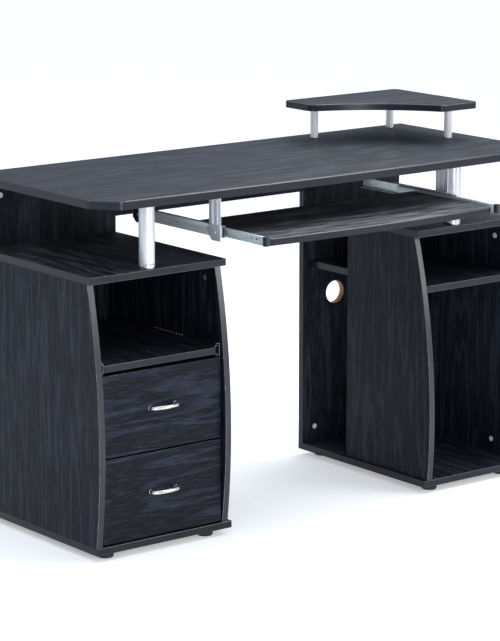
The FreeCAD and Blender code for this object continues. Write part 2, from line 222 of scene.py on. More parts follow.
@dataclass(frozen=True)
class EmbossedLaminate(Finish):
    """Black melamine foil pressed with an ash grain over particle board, with a smooth strip on the edges.

    The foil is near black with a cold blue cast.  The press leaves long open pores that scatter light,
    so flat faces look satin with pale streaks, while the edge strip is plain, a little greyer and shinier.
    """

    grain: Axis = Axis.X
    thin: Axis = Axis.Z
    hole: CableHole | None = None
    pore: tuple[float, float] = (46.0, 1.9)      # mm; length and width of the pressed pores
    figure: tuple[float, float] = (520.0, 46.0)  # mm; length and width of the arched figure
    figure_lines: float = 34.0
    gloss: float = 0.38
    edge_gloss: float = 0.22
    satin: tuple[float, float] = (0.42, 0.56)
    press_depth: float = 0.45
    press_height: float = 0.35 * MM
    glint: float = 0.2
    arris_gloss: float = 1.0

    def build(self, tree: bpy.types.NodeTree, shader: bpy.types.Node) -> None:
        """Lay the grain, its pores, the edge strip and, where there is a cable hole, its bare rim.

        Args:
            tree: the material's node tree.
            shader: its main shader.
        """
        place = add_node(tree, "ShaderNodeTexCoord")
        turned = add_node(tree, "ShaderNodeMapping", values={"Rotation": GRAIN_TURN[self.grain]},
                          links={"Vector": place.outputs["Object"]})
        along, across = (1.0 / (size * MM) for size in self.pore)
        pore_place = add_node(tree, "ShaderNodeMapping", values={"Scale": (along, across, across)},
                              links={"Vector": turned.outputs["Vector"]})
        pores = add_node(tree, "ShaderNodeTexNoise", values={"Scale": 1.0, "Detail": 3.0, "Roughness": 0.62},
                         links={"Vector": pore_place.outputs["Vector"]})
        along, across = (1.0 / (size * MM) for size in self.figure)
        figure_place = add_node(tree, "ShaderNodeMapping", values={"Scale": (along, across, across)},
                                links={"Vector": turned.outputs["Vector"]})
        swirl = add_node(tree, "ShaderNodeTexNoise", values={"Scale": 1.0, "Detail": 1.5, "Roughness": 0.45},
                         links={"Vector": figure_place.outputs["Vector"]})
        lines = add_node(tree, "ShaderNodeMath", {"operation": "MULTIPLY"}, {1: self.figure_lines},
                         {0: swirl.outputs["Fac"]})
        wave = add_node(tree, "ShaderNodeMath", {"operation": "SINE"}, links={0: lines.outputs[0]})
        rings = add_node(tree, "ShaderNodeMapRange", values={"From Min": 0.1, "From Max": 1.0},
                         links={"Value": wave.outputs[0]})
        streak = add_node(tree, "ShaderNodeMapRange", values={"From Min": 0.46, "From Max": 0.68},
                          links={"Value": pores.outputs["Fac"]})
        both = add_node(tree, "ShaderNodeMath", {"operation": "MULTIPLY_ADD"}, {1: 0.55},
                        {0: rings.outputs[0], 2: streak.outputs[0]})
        foil = add_ramp(tree, both.outputs[0], ((0.0, linear("#0a0c12")), (0.5, linear("#131722")),
                                                (1.0, linear("#242b3a"))))
        patch = add_node(tree, "ShaderNodeTexNoise", values={"Scale": 9.0, "Detail": 2.0},
                         links={"Vector": place.outputs["Object"]})
        edge = self.edge_mask(tree, place)
        strip = add_ramp(tree, patch.outputs["Fac"], ((0.3, linear("#18191f")), (0.7, linear("#212229"))))
        colour = add_node(tree, "ShaderNodeMix", {"data_type": "RGBA"}, links={0: edge, 6: foil, 7: strip})
        satin = add_node(tree, "ShaderNodeMapRange", values={"To Min": self.satin[0], "To Max": self.satin[1]},
                         links={"Value": both.outputs[0]})
        handled = add_node(tree, "ShaderNodeMath", {"operation": "MULTIPLY_ADD"}, {1: 0.12},
                           {0: patch.outputs["Fac"], 2: satin.outputs[0]})
        rough = add_node(tree, "ShaderNodeMix", values={3: 0.27}, links={0: edge, 2: handled.outputs[0]})
        flat = add_node(tree, "ShaderNodeMath", {"operation": "SUBTRACT"}, {0: 1.0}, {1: edge})
        depth = add_node(tree, "ShaderNodeMath", {"operation": "MULTIPLY"},
                         links={0: both.outputs[0], 1: flat.outputs[0]})
        press = add_node(tree, "ShaderNodeBump",
                         values={"Strength": self.press_depth, "Distance": self.press_height},
                         links={"Height": depth.outputs[0]})
        out_colour, out_rough = colour.outputs[2], rough.outputs[0]
        if self.hole:
            out_colour, out_rough = self.bare_rim(tree, place, out_colour, out_rough)
        tree.links.new(out_colour, shader.inputs["Base Color"])
        tree.links.new(out_rough, shader.inputs["Roughness"])
        tree.links.new(press.outputs["Normal"], shader.inputs["Normal"])
        tree.links.new(self.shine(tree, place, edge, both.outputs[0]), shader.inputs["Specular IOR Level"])

    def shine(self, tree: bpy.types.NodeTree, place: bpy.types.Node, edge: bpy.types.NodeSocket,
              grain: bpy.types.NodeSocket) -> bpy.types.NodeSocket:
        """Make the pressed grain glint and the rounded arrises gleam.

        Args:
            tree: the node tree.
            place: its texture coordinates.
            edge: one on the board's edges.
            grain: the height of the pressed grain.

        Returns:
            The strength of the surface's reflection.
        """
        face = add_node(tree, "ShaderNodeMapRange", values={"To Min": self.gloss * (1.0 - self.glint),
                                                            "To Max": self.gloss * (1.0 + 2.0 * self.glint)},
                        links={"Value": grain})
        level = add_node(tree, "ShaderNodeMix", values={3: self.edge_gloss},
                         links={0: edge, 2: face.outputs[0]})
        size = facing_size(tree, place, self.thin)
        away = add_node(tree, "ShaderNodeMath", {"operation": "SUBTRACT"}, {0: 1.0}, {1: size})
        arris = add_node(tree, "ShaderNodeMath", {"operation": "MULTIPLY"},
                         links={0: size, 1: away.outputs[0]})
        return add_node(tree, "ShaderNodeMath", {"operation": "MULTIPLY_ADD"}, {1: 4.0 * self.arris_gloss},
                        {0: arris.outputs[0], 2: level.outputs[0]}).outputs[0]

    def edge_mask(self, tree: bpy.types.NodeTree, place: bpy.types.Node) -> bpy.types.NodeSocket:
        """Tell the board's edges from its two faces.

        Args:
            tree: the material's node tree.
            place: its texture coordinates.

        Returns:
            One on the edges and nothing on the faces.
        """
        size = facing_size(tree, place, self.thin)
        mask = add_node(tree, "ShaderNodeMapRange", values={"From Min": 0.86, "From Max": 0.8},
                        links={"Value": size})
        return mask.outputs[0]

    def bare_rim(self, tree: bpy.types.NodeTree, place: bpy.types.Node, colour: bpy.types.NodeSocket,
                 rough: bpy.types.NodeSocket) -> tuple[bpy.types.NodeSocket, bpy.types.NodeSocket]:
        """Show pale pressed chips on the wall of the cable hole.

        Args:
            tree: the node tree.
            place: its texture coordinates.
            colour: the colour everywhere else.
            rough: the roughness everywhere else.

        Returns:
            The colour and roughness with the hole's wall put in.
        """
        centre = add_node(tree, "ShaderNodeVectorMath", {"operation": "SUBTRACT"},
                          {1: (self.hole.x, 0.0, self.hole.z)}, {0: place.outputs["Object"]})
        level = add_node(tree, "ShaderNodeVectorMath", {"operation": "MULTIPLY"}, {1: (1.0, 0.0, 1.0)},
                         {0: centre.outputs[0]})
        reach = add_node(tree, "ShaderNodeVectorMath", {"operation": "LENGTH"}, links={0: level.outputs[0]})
        wall = add_node(tree, "ShaderNodeMath", {"operation": "LESS_THAN"},
                        {1: self.hole.radius + self.hole.reach},
                        {0: reach.outputs["Value"]})
        chips = add_node(tree, "ShaderNodeTexVoronoi", values={"Scale": 1.0 / self.hole.chip},
                         links={"Vector": place.outputs["Object"]})
        board = add_ramp(tree, chips.outputs["Distance"], ((0.0, linear("#c79a6c")), (1.0, linear("#7c5433"))))
        mixed = add_node(tree, "ShaderNodeMix", {"data_type": "RGBA"},
                         links={0: wall.outputs[0], 6: colour, 7: board})
        duller = add_node(tree, "ShaderNodeMix", values={3: 0.85}, links={0: wall.outputs[0], 2: rough})
        return mixed.outputs[2], duller.outputs[0]


@dataclass(frozen=True)
class Sheen:
    """The plain numbers of a metal or plastic surface."""

    metallic: float
    roughness: float
    spread: float = 0.08


@dataclass(frozen=True)
class FlakedSurface(Finish):
    """A metal, paint or plastic with a fine pattern of its own, stretched along one axis where it is drawn.

    The pattern tints the colour between two shades, changes the roughness a little and lifts the surface.
    """

    dark: str = "#000000"
    light: str = "#ffffff"
    sheen: Sheen = Sheen(1.0, 0.3)
    grain_mm: tuple[float, float, float] = (1.5, 1.5, 1.5)
    lift: float = 0.05
    bare_end: str | None = None
    lift_height: float = 0.2 * MM
    wear: float = 22.0 * MM

    def build(self, tree: bpy.types.NodeTree, shader: bpy.types.Node) -> None:
        """Lay a stretched noise into colour, roughness and bump, and bare the cut ends where asked for.

        Args:
            tree: the material's node tree.
            shader: its main shader.
        """
        place = add_node(tree, "ShaderNodeTexCoord")
        scale = tuple(1.0 / (size * MM) for size in self.grain_mm)
        fitted = add_node(tree, "ShaderNodeMapping", values={"Scale": scale},
                          links={"Vector": place.outputs["Object"]})
        noise = add_node(tree, "ShaderNodeTexNoise", values={"Scale": 1.0, "Detail": 3.0, "Roughness": 0.6},
                         links={"Vector": fitted.outputs["Vector"]})
        colour = add_ramp(tree, noise.outputs["Fac"], ((0.3, linear(self.dark)), (0.7, linear(self.light))))
        low, high = self.sheen.roughness - self.sheen.spread, self.sheen.roughness + self.sheen.spread
        worn = add_node(tree, "ShaderNodeTexNoise", values={"Scale": 1.0 / self.wear, "Detail": 2.0},
                        links={"Vector": place.outputs["Object"]})
        both = add_node(tree, "ShaderNodeMath", {"operation": "MULTIPLY_ADD"}, {1: 0.5},
                        {0: noise.outputs["Fac"], 2: worn.outputs["Fac"]})
        rough = add_node(tree, "ShaderNodeMapRange",
                         values={"From Min": 0.4, "From Max": 1.1, "To Min": low, "To Max": high},
                         links={"Value": both.outputs[0]})
        bump = add_node(tree, "ShaderNodeBump", values={"Strength": self.lift, "Distance": self.lift_height},
                        links={"Height": noise.outputs["Fac"]})
        if self.bare_end:
            size = facing_size(tree, place, Axis.Y)
            cut = add_node(tree, "ShaderNodeMapRange", values={"From Min": 0.5, "From Max": 0.8},
                           links={"Value": size})
            colour = add_node(tree, "ShaderNodeMix", {"data_type": "RGBA"}, {7: linear(self.bare_end)},
                              {0: cut.outputs[0], 6: colour}).outputs[2]
        tree.links.new(colour, shader.inputs["Base Color"])
        tree.links.new(rough.outputs[0], shader.inputs["Roughness"])
        tree.links.new(bump.outputs["Normal"], shader.inputs["Normal"])
        shader.inputs["Metallic"].default_value = self.sheen.metallic


# Powder paint full of aluminium flake on steel tube: pale, softly bright, never a clear reflection.
SILVER_PAINT = FlakedSurface("silver_powder_paint", "#c3c5c9", "#dcdde0", Sheen(0.45, 0.4),
                             (1.6, 1.6, 1.6), 0.08)
# The thin posts' paint is probably the same, but is drawn paler and not metallic at all, matched to the posts,
# which look almost white: the paler colour is painted light standing in for the bright light they catch.
LIT_POST_PAINT = FlakedSurface("painted_light_powder_paint", "#f4f4f5", "#fcfcfd", Sheen(0.0, 0.32),
                           (1.6, 1.6, 1.6), 0.06)
# Chromed brass collars: clear bright reflections with dark lines beside them.
CHROMED_TRIM = FlakedSurface("chromed_brass", "#b4b7bb", "#cdcfd3", Sheen(1.0, 0.26, 0.05),
                             (6.0, 6.0, 6.0), 0.02)
# Bright zinc on rolled steel: cool grey with a faint green cast and long rolling marks.  Only half metallic,
# a matched value, so that it stays pale where the room it would mirror is dim.
ZINC_PLATE = FlakedSurface("zinc_plated_steel", "#bac4c6", "#e0e6e8", Sheen(0.5, 0.4),
                           (2.0, 38.0, 2.0), 0.1)
# The same zinc on the upright hangers, whose rolling marks run up and down; its values too are matched.
ZINC_HANGER = FlakedSurface("zinc_plated_strip", "#c4c8ce", "#e0e2e7", Sheen(0.6, 0.42),
                            (2.0, 2.0, 40.0), 0.08)
# Steel with a thin black lacquer, cut after coating, so its ends show bare metal.
BLACK_STEEL = FlakedSurface("black_lacquered_steel", "#16171b", "#24252b", Sheen(0.2, 0.34),
                            (2.0, 40.0, 2.0),
                            0.08, "#85888d")
# The rear hangers, drawn dark: painted shade for the shade they hang in under the desktop.
SHADED_HANGER = FlakedSurface("painted_shade_strip", "#24282c", "#3a4045", Sheen(0.3, 0.36),
                             (2.0, 2.0, 40.0), 0.08)
# Moulded black polypropylene: matt, with a fine spark-eroded grain.
MOULDED_BLACK = FlakedSurface("moulded_polypropylene", "#101114", "#1c1d21", Sheen(0.0, 0.5),
                              (1.2, 1.2, 1.2), 0.2)
# Brushed nickel plate, rubbed along the bar: warm silver with soft long highlights.
BRUSHED_NICKEL = FlakedSurface("brushed_nickel", "#c4bfb8", "#e4e1dd", Sheen(1.0, 0.25),
                               (14.0, 1.4, 1.4), 0.06)
# Grey nylon caps, slightly waxy.
NYLON_CAP = FlakedSurface("grey_nylon", "#b4b4ba", "#cacace", Sheen(0.0, 0.42), (1.5, 1.5, 1.5), 0.1)
# The cap inside the open compartment hardly shows, so it is drawn in darker nylon: painted shade for the shade
# in the compartment.
SHADED_NYLON_CAP = FlakedSurface("painted_shade_nylon", "#3c3d43", "#4a4b52", Sheen(0.0, 0.42), (1.5, 1.5, 1.5), 0.1)
# Zinc plated screws, brighter than the sheet they sit on.
SCREW_STEEL = FlakedSurface("screw_steel", "#b9b8b2", "#dddcd8", Sheen(1.0, 0.28), (1.0, 1.0, 1.0), 0.05)
# Hardened chrome steel balls: bright dots.  Real ones are fully metallic; these are less so, a matched value,
# to stay bright inside the dark compartment.
BALL_STEEL = FlakedSurface("ball_steel", "#e4e5e8", "#f8f8fa", Sheen(0.35, 0.2, 0.03), (1.0, 1.0, 1.0), 0.0)
# Plain dark foil on the drawer sides, with no grain pressed in.
DRAWER_FOIL = FlakedSurface("plain_black_foil", "#1d1e22", "#27282d", Sheen(0.0, 0.48),
                            (2.0, 30.0, 2.0), 0.1)
# Pressed hardboard: brown matted fibre.
HARDBOARD = FlakedSurface("pressed_hardboard", "#4a3324", "#6d4f38", Sheen(0.0, 0.75), (1.4, 1.4, 1.4), 0.3)


def dress(obj: bpy.types.Object, finish: Finish) -> None:
    """Give an object one finish all over.

    Args:
        obj: a CAD node or a new piece.
        finish: what its surface is.
    """
    if obj.material_slots:
        for slot in obj.material_slots:
            slot.material = finish.material()
    else:
        obj.data.materials.append(finish.material())


# ---------------------------------------------------------------------------------------------
# Modelling helpers
# ---------------------------------------------------------------------------------------------
# What pick() asks of each corner, edge or face: its middle, and its normal or direction.
Test = Callable[[Vector, Vector], bool]
# A node's name with the box of one of its solids.
Member = tuple[str, tuple[Vector, Vector]]
# Points closer than this are the same point.
SAME = 1e-6
# Points closer than this to a plane lie on it, after a cut.
NEAR = 1e-5


@dataclass
class Workpiece:
    """A mesh being modelled with Blender's own operators, its place always in its mesh."""

    obj: bpy.types.Object

    @classmethod
    def start(cls, name: str, add: Callable[..., object], **settings: object) -> "Workpiece":
        """Add a primitive and put its place into its mesh.

        Args:
            name: the piece's name.
            add: one of Blender's primitive operators.
            settings: what that operator takes.

        Returns:
            The workpiece.
        """
        bpy.ops.object.select_all(action="DESELECT")
        add(**settings)
        obj = bpy.context.view_layer.objects.active
        obj.name = name
        obj.data.name = name
        bpy.ops.object.transform_apply(location=True, rotation=True, scale=True)
        return cls(obj)

    @classmethod
    def block(cls, name: str, low: Vector, high: Vector) -> "Workpiece":
        """Stretch a cube between two corners.

        Args:
            name: the piece's name.
            low: its lowest corner.
            high: its highest corner.

        Returns:
            The workpiece.
        """
        piece = cls.start(name, bpy.ops.mesh.primitive_cube_add, size=1.0, location=(low + high) / 2)
        with piece.editing():
            bpy.ops.mesh.select_all(action="SELECT")
            bpy.ops.transform.resize(value=high - low, center_override=(low + high) / 2)
        return piece

    @contextmanager
    def editing(self) -> Iterator[None]:
        """Hold this piece alone in edit mode.

        Yields:
            Nothing; edit mode ends with the block.
        """
        bpy.ops.object.select_all(action="DESELECT")
        self.obj.select_set(True)
        bpy.context.view_layer.objects.active = self.obj
        bpy.ops.object.mode_set(mode="EDIT")
        try:
            yield
        finally:
            bpy.ops.object.mode_set(mode="OBJECT")

    def pick(self, part: Part, test: Test) -> int:
        """Select the corners, edges or faces whose place and direction pass a test.

        Args:
            part: what to select.
            test: takes the middle, and the normal of a corner or face or the direction of an edge.

        Returns:
            How many were selected.
        """
        bpy.ops.mesh.select_mode(type=part.value)
        bpy.ops.mesh.select_all(action="DESELECT")
        mesh = bmesh.from_edit_mesh(self.obj.data)
        mesh.normal_update()
        found = 0
        if part is Part.FACES:
            for face in mesh.faces:
                if test(face.calc_center_median(), face.normal):
                    face.select_set(True)
                    found += 1
        elif part is Part.EDGES:
            for edge in mesh.edges:
                first, second = (v.co for v in edge.verts)
                if test((first + second) / 2, (second - first).normalized()):
                    edge.select_set(True)
                    found += 1
        else:
            for corner in mesh.verts:
                if test(corner.co, corner.normal):
                    corner.select_set(True)
                    found += 1
        mesh.select_flush_mode()
        bmesh.update_edit_mesh(self.obj.data)
        return found

    def extrude(self, move: Vector | Sequence[float]) -> None:
        """Extrude what is selected and move it.

        Args:
            move: how far and which way.
        """
        bpy.ops.mesh.extrude_region_move(TRANSFORM_OT_translate={"value": tuple(move)})

    def cut(self, place: Sequence[float], normal: Sequence[float], drop: bool = False) -> None:
        """Cut right through along a plane.

        Args:
            place: a point on the plane.
            normal: the plane's direction.
            drop: whether what lies on the normal's side is thrown away.
        """
        bpy.ops.mesh.select_all(action="SELECT")
        bpy.ops.mesh.bisect(plane_co=tuple(place), plane_no=tuple(normal), clear_outer=drop)

    def thicken(self, thickness: float) -> None:
        """Give the sheet its thickness, half to each side.

        Args:
            thickness: the whole thickness.
        """
        self.apply("SOLIDIFY", thickness=thickness, offset=0.0, use_even_offset=True)

    def round_edges(self, width: float, segments: int = 2, angle: float = 35.0) -> None:
        """Round off every sharp edge.

        Args:
            width: size of the rounding.
            segments: steps it is made in.
            angle: edges sharper than this are rounded, in degrees.
        """
        self.apply("BEVEL", width=width, segments=segments, limit_method="ANGLE",
                   angle_limit=math.radians(angle), use_clamp_overlap=True)

    def apply(self, kind: str, **settings: object) -> None:
        """Add a modifier and apply it at once.

        Args:
            kind: Blender's name for the modifier.
            settings: its settings by name.
        """
        modifier = self.obj.modifiers.new(kind.title(), kind)
        for name, value in settings.items():
            setattr(modifier, name, value)
        bpy.ops.object.select_all(action="DESELECT")
        self.obj.select_set(True)
        bpy.context.view_layer.objects.active = self.obj
        bpy.ops.object.modifier_apply(modifier=modifier.name)

    def punch(self, cutter: "Workpiece") -> None:
        """Take another piece's shape out of this one.

        Args:
            cutter: the other piece, used up.
        """
        self.apply("BOOLEAN", operation="DIFFERENCE", solver="EXACT", object=cutter.obj)
        cutter.scrap()

    def finish_mesh(self, angle: float = 40.0) -> None:
        """Merge doubles, turn faces outwards and shade the round parts smooth.

        Args:
            angle: edges flatter than this look smooth, in degrees.
        """
        with self.editing():
            bpy.ops.mesh.select_all(action="SELECT")
            bpy.ops.mesh.remove_doubles(threshold=SAME)
            bpy.ops.mesh.normals_make_consistent(inside=False)
        bpy.ops.object.select_all(action="DESELECT")
        self.obj.select_set(True)
        bpy.ops.object.shade_smooth_by_angle(angle=math.radians(angle))

    def copy(self, name: str, move: Matrix) -> bpy.types.Object:
        """Copy the piece with a mesh of its own, and move that mesh.

        Args:
            name: the copy's name.
            move: where the mesh goes.

        Returns:
            The new object.
        """
        twin = self.obj.copy()
        twin.data = self.obj.data.copy()
        twin.name = name
        twin.data.name = name
        twin.data.transform(move)
        if move.determinant() < 0:
            twin.data.flip_normals()
        bpy.context.scene.collection.objects.link(twin)
        return twin

    def scrap(self) -> None:
        """Throw the workpiece away."""
        bpy.data.objects.remove(self.obj)


def join(name: str, pieces: Sequence[bpy.types.Object]) -> bpy.types.Object:
    """Join pieces into one object.

    Args:
        name: the name of the whole.
        pieces: the pieces, used up.

    Returns:
        The whole.
    """
    bpy.ops.object.select_all(action="DESELECT")
    for piece in pieces:
        piece.select_set(True)
    bpy.context.view_layer.objects.active = pieces[0]
    bpy.ops.object.join()
    pieces[0].name = name
    pieces[0].data.name = name
    return pieces[0]


def solid_boxes(node: str) -> list[tuple[Vector, Vector]]:
    """Boxes of a CAD node's separate solids, from left to right.

    Args:
        node: the node's name.

    Returns:
        Lowest and highest corner of each solid.
    """
    work = bmesh.new()
    work.from_mesh(frame["nodes"][node].data)
    bmesh.ops.remove_doubles(work, verts=work.verts, dist=SAME)
    seen: set[int] = set()
    boxes = []
    for seed in work.verts:
        if seed.index in seen:
            continue
        seen.add(seed.index)
        queue, points = [seed], []
        while queue:
            corner = queue.pop()
            points.append(corner.co.copy())
            for other in (edge.other_vert(corner) for edge in corner.link_edges):
                if other.index not in seen:
                    seen.add(other.index)
                    queue.append(other)
        boxes.append((Vector(min(p[i] for p in points) for i in range(3)),
                      Vector(max(p[i] for p in points) for i in range(3))))
    work.free()
    return sorted(boxes, key=lambda box: tuple(round(value, 5) for value in box[0]))


def settle(obj: bpy.types.Object, node: str, finish: Finish, stands_for: bool = True) -> bpy.types.Object:
    """Dress a new piece and let it ride with the CAD node that it belongs to.

    Args:
        obj: the new piece.
        node: the CAD node whose body and slot it takes.
        finish: its surface.
        stands_for: whether it replaces that node.

    Returns:
        The same object.
    """
    obj.data.materials.clear()
    obj.data.materials.append(finish.material())
    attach(obj, BODY_OF[node])
    if stands_for:
        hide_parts(node)
    LOG.info("%s rides on %s in %s", obj.name, BODY_OF[node], finish.title)
    return obj


def upright_copy(master: Workpiece, name: str, box: tuple[Vector, Vector],
                 facing: Vector) -> bpy.types.Object:
    """Copy a master that stands on the origin along +Z into a box, standing along another direction.

    Args:
        master: the workpiece, with its foot on the origin.
        name: the copy's name.
        box: where it goes.
        facing: the direction that the master's +Z turns to.

    Returns:
        The new object.
    """
    low, high = box
    foot = (low + high) / 2
    for axis in range(3):
        if facing[axis] > 0.5:
            foot[axis] = low[axis]
        elif facing[axis] < -0.5:
            foot[axis] = high[axis]
    turn = Vector((0.0, 0.0, 1.0)).rotation_difference(facing).to_matrix().to_4x4()
    return master.copy(name, Matrix.Translation(foot) @ turn)


# ---------------------------------------------------------------------------------------------
# The boards
# ---------------------------------------------------------------------------------------------
@dataclass
class Boards:
    """All laminated boards: the CAD shapes are right, so they stay and get their surfaces.

    One foil covers them all.  The groups differ in gloss, satin, press depth and glint only because each is
    matched one by one.
    """

    along: tuple[str, ...] = ("desktop", "raised_shelf")
    across: tuple[str, ...] = ("left_base", "right_base", "right_shelf", "pull_out_shelf")
    pedestal_tops: tuple[str, ...] = ("left_top", "right_top")
    upright_sides: tuple[str, ...] = ("left_side_outer", "left_side_inner", "right_side_outer",
                                      "right_side_inner")
    fronts: tuple[str, ...] = ("drawer_upper_front", "drawer_lower_front")
    hole_radius: float = 26.5 * MM
    hole_in: Vector = field(default_factory=lambda: Vector((95.5 * MM, 0.0, 350.5 * MM)))

    def dress(self) -> None:
        """Each board gets the foil with its own grain direction."""
        for nodes, finish in (
                (self.along, EmbossedLaminate("black_ash_foil_along", Axis.X, Axis.Z)),
                (self.across, EmbossedLaminate("black_ash_foil_across", Axis.Y, Axis.Z)),
                (self.pedestal_tops, EmbossedLaminate("black_ash_foil_tops", Axis.Y, Axis.Z, gloss=1.0,
                                                      satin=(0.46, 0.62), press_depth=0.8, glint=0.5)),
                (("keyboard_tray",), EmbossedLaminate("black_ash_foil_tray", Axis.X, Axis.Z, gloss=1.0,
                                                      satin=(0.46, 0.64), press_depth=0.9, glint=0.75)),
                (self.upright_sides, EmbossedLaminate("black_ash_foil_upright", Axis.Z, Axis.X,
                                                      gloss=UPRIGHT_GLOSS, edge_gloss=0.5)),
                (self.fronts, EmbossedLaminate("black_ash_foil_fronts", Axis.X, Axis.Y, gloss=UPRIGHT_GLOSS)),
                (("rear_rail",), EmbossedLaminate("black_ash_foil_rail", Axis.X, Axis.Y, gloss=UPRIGHT_GLOSS)),
                (("back_panel_left",), EmbossedLaminate("black_ash_foil_back", Axis.Z, Axis.Y,
                                                        gloss=UPRIGHT_GLOSS)),
                (("back_panel_right",), EmbossedLaminate("black_ash_foil_back_with_hole", Axis.Z, Axis.Y,
                                                         self.cable_hole(), gloss=UPRIGHT_GLOSS))):
            for node in nodes:
                dress(frame["nodes"][node], finish)
                LOG.info("%s keeps its CAD shape in %s", node, finish.title)

    def cable_hole(self) -> CableHole:
        """Find the cable hole, measured in from the right back panel's lower left corner.

        Returns:
            The hole.
        """
        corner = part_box("back_panel_right")[0] + self.hole_in
        return CableHole(corner.x, corner.z, self.hole_radius)


# ---------------------------------------------------------------------------------------------
# Columns, posts and feet
# ---------------------------------------------------------------------------------------------
@dataclass
class Columns:
    """The two thick columns between pedestals and desktop, each with a collar at both ends."""

    wall: float = 1.5 * MM
    tube_edge: float = 0.4 * MM
    collar_edge: float = 1.6 * MM
    around: int = 64

    def build(self) -> None:
        """Model one collar and both tubes."""
        for side in ("left", "right"):
            node = "column_" + side
            low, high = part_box(node)
            tube = self.sleeve(node + "_tube", low, high, self.tube_edge)
            settle(tube.obj, node, SILVER_PAINT)
        for index, (low, high) in enumerate(solid_boxes("column_rings")):
            collar = self.sleeve(f"column_collar_{index + 1}", low, high, self.collar_edge)
            settle(collar.obj, "column_rings", CHROMED_TRIM, stands_for=index == 0)

    def sleeve(self, name: str, low: Vector, high: Vector, edge: float) -> Workpiece:
        """A short or long tube filling a box, its rims rounded.

        Args:
            name: the piece's name.
            low: the box's lowest corner.
            high: the box's highest corner.
            edge: rounding of the rims.

        Returns:
            The tube.
        """
        radius = (high.x - low.x) / 2
        piece = Workpiece.start(name, bpy.ops.mesh.primitive_cylinder_add, vertices=self.around,
                                radius=radius - self.wall / 2, depth=high.z - low.z, location=(low + high) / 2)
        with piece.editing():
            piece.pick(Part.FACES, lambda place, normal: abs(normal.z) > 0.9)
            bpy.ops.mesh.delete(type="ONLY_FACE")
        piece.thicken(self.wall)
        piece.round_edges(min(edge, self.wall * 0.45), 3, 60.0)
        piece.finish_mesh()
        return piece


@dataclass
class RaisedPosts:
    """The three thin posts under the raised shelf with their small flanges."""

    neck: float = 0.6 * MM
    neck_height: float = 3.0 * MM
    neck_edge: float = 0.5 * MM
    flange_edge: float = 0.9 * MM
    around: int = 48

    def build(self) -> None:
        """Model every post and every flange where it stands."""
        for index, (low, high) in enumerate(solid_boxes("raised_posts")):
            radius = (high.x - low.x) / 2
            post = Workpiece.start(f"raised_post_{index + 1}", bpy.ops.mesh.primitive_cylinder_add,
                                   vertices=self.around, radius=radius, depth=high.z - low.z,
                                   location=(low + high) / 2)
            with post.editing():
                for end in (low.z + self.neck_height, high.z - self.neck_height):
                    post.cut((0.0, 0.0, end), (0.0, 0.0, 1.0))
                post.pick(Part.CORNERS, lambda place, normal: min(place.z - low.z, high.z - place.z) < NEAR)
                bpy.ops.transform.resize(value=((radius - self.neck) / radius,) * 2 + (1.0,),
                                         center_override=(low + high) / 2)
                post.pick(Part.EDGES, lambda place, way: abs(way.z) < 0.1 and
                          abs(min(place.z - low.z, high.z - place.z) - self.neck_height) < NEAR)
                bpy.ops.mesh.bevel(offset=self.neck_edge, segments=2, affect="EDGES")
            post.finish_mesh()
            # The posts take the paler post paint: painted light standing in for the light they catch.
            settle(post.obj, "raised_posts", LIT_POST_PAINT, stands_for=index == 0)
        for index, box in enumerate(solid_boxes("raised_post_flanges")):
            flange = self.flange(box)
            settle(flange.obj, "raised_post_flanges", CHROMED_TRIM, stands_for=index == 0)
            flange.obj.name = f"raised_post_flange_{index + 1}"

    def flange(self, box: tuple[Vector, Vector]) -> Workpiece:
        """Turn a washer with a rounded rim.

        Args:
            box: the space it fills.

        Returns:
            The washer.
        """
        low, high = box
        up = low.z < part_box("raised_posts")[0].z
        piece = Workpiece.start("raised_post_flange", bpy.ops.mesh.primitive_cylinder_add, vertices=self.around,
                                radius=(high.x - low.x) / 2, depth=high.z - low.z, location=(low + high) / 2)
        outer_z = high.z if up else low.z
        with piece.editing():
            piece.pick(Part.EDGES, lambda place, way: abs(place.z - outer_z) < SAME)
            bpy.ops.mesh.bevel(offset=self.flange_edge, segments=3, affect="EDGES")
        piece.finish_mesh(30.0)
        return piece


@dataclass
class Feet:
    """Eight moulded glides: a stem under the board and a wider pad with a rounded rim."""

    stem_share: float = 0.8
    pad_height: float = 8.0 * MM
    rim: float = 2.2 * MM
    sole_rim: float = 1.0 * MM
    sole_depth: float = 1.5 * MM
    around: int = 48

    def build(self) -> None:
        """Model one glide, then copy it under both pedestals."""
        low, high = solid_boxes("left_feet")[0]
        radius, height = (high.x - low.x) / 2, high.z - low.z
        glide = Workpiece.start("glide", bpy.ops.mesh.primitive_cylinder_add, vertices=self.around,
                                radius=radius, depth=self.pad_height, location=(0.0, 0.0, self.pad_height / 2))
        with glide.editing():
            glide.pick(Part.FACES, lambda place, normal: normal.z > 0.9)
            bpy.ops.mesh.inset(thickness=radius * (1.0 - self.stem_share))
            glide.extrude((0.0, 0.0, height - self.pad_height))
            glide.pick(Part.EDGES, lambda place, way: abs(way.z) < 0.1 and place.xy.length > radius * 0.98)
            bpy.ops.mesh.bevel(offset=self.rim, segments=4, affect="EDGES")
            glide.pick(Part.FACES, lambda place, normal: normal.z < -0.995)
            bpy.ops.mesh.inset(thickness=radius * 0.35)
            bpy.ops.mesh.inset(thickness=self.sole_rim, depth=-self.sole_depth)
        glide.finish_mesh()
        for node in ("left_feet", "right_feet"):
            for index, box in enumerate(solid_boxes(node)):
                name = f"{node.removesuffix('feet')}foot_{index + 1}"
                foot = upright_copy(glide, name, box, Vector((0.0, 0.0, 1.0)))
                settle(foot, node, MOULDED_BLACK, stands_for=index == 0)
        glide.scrap()


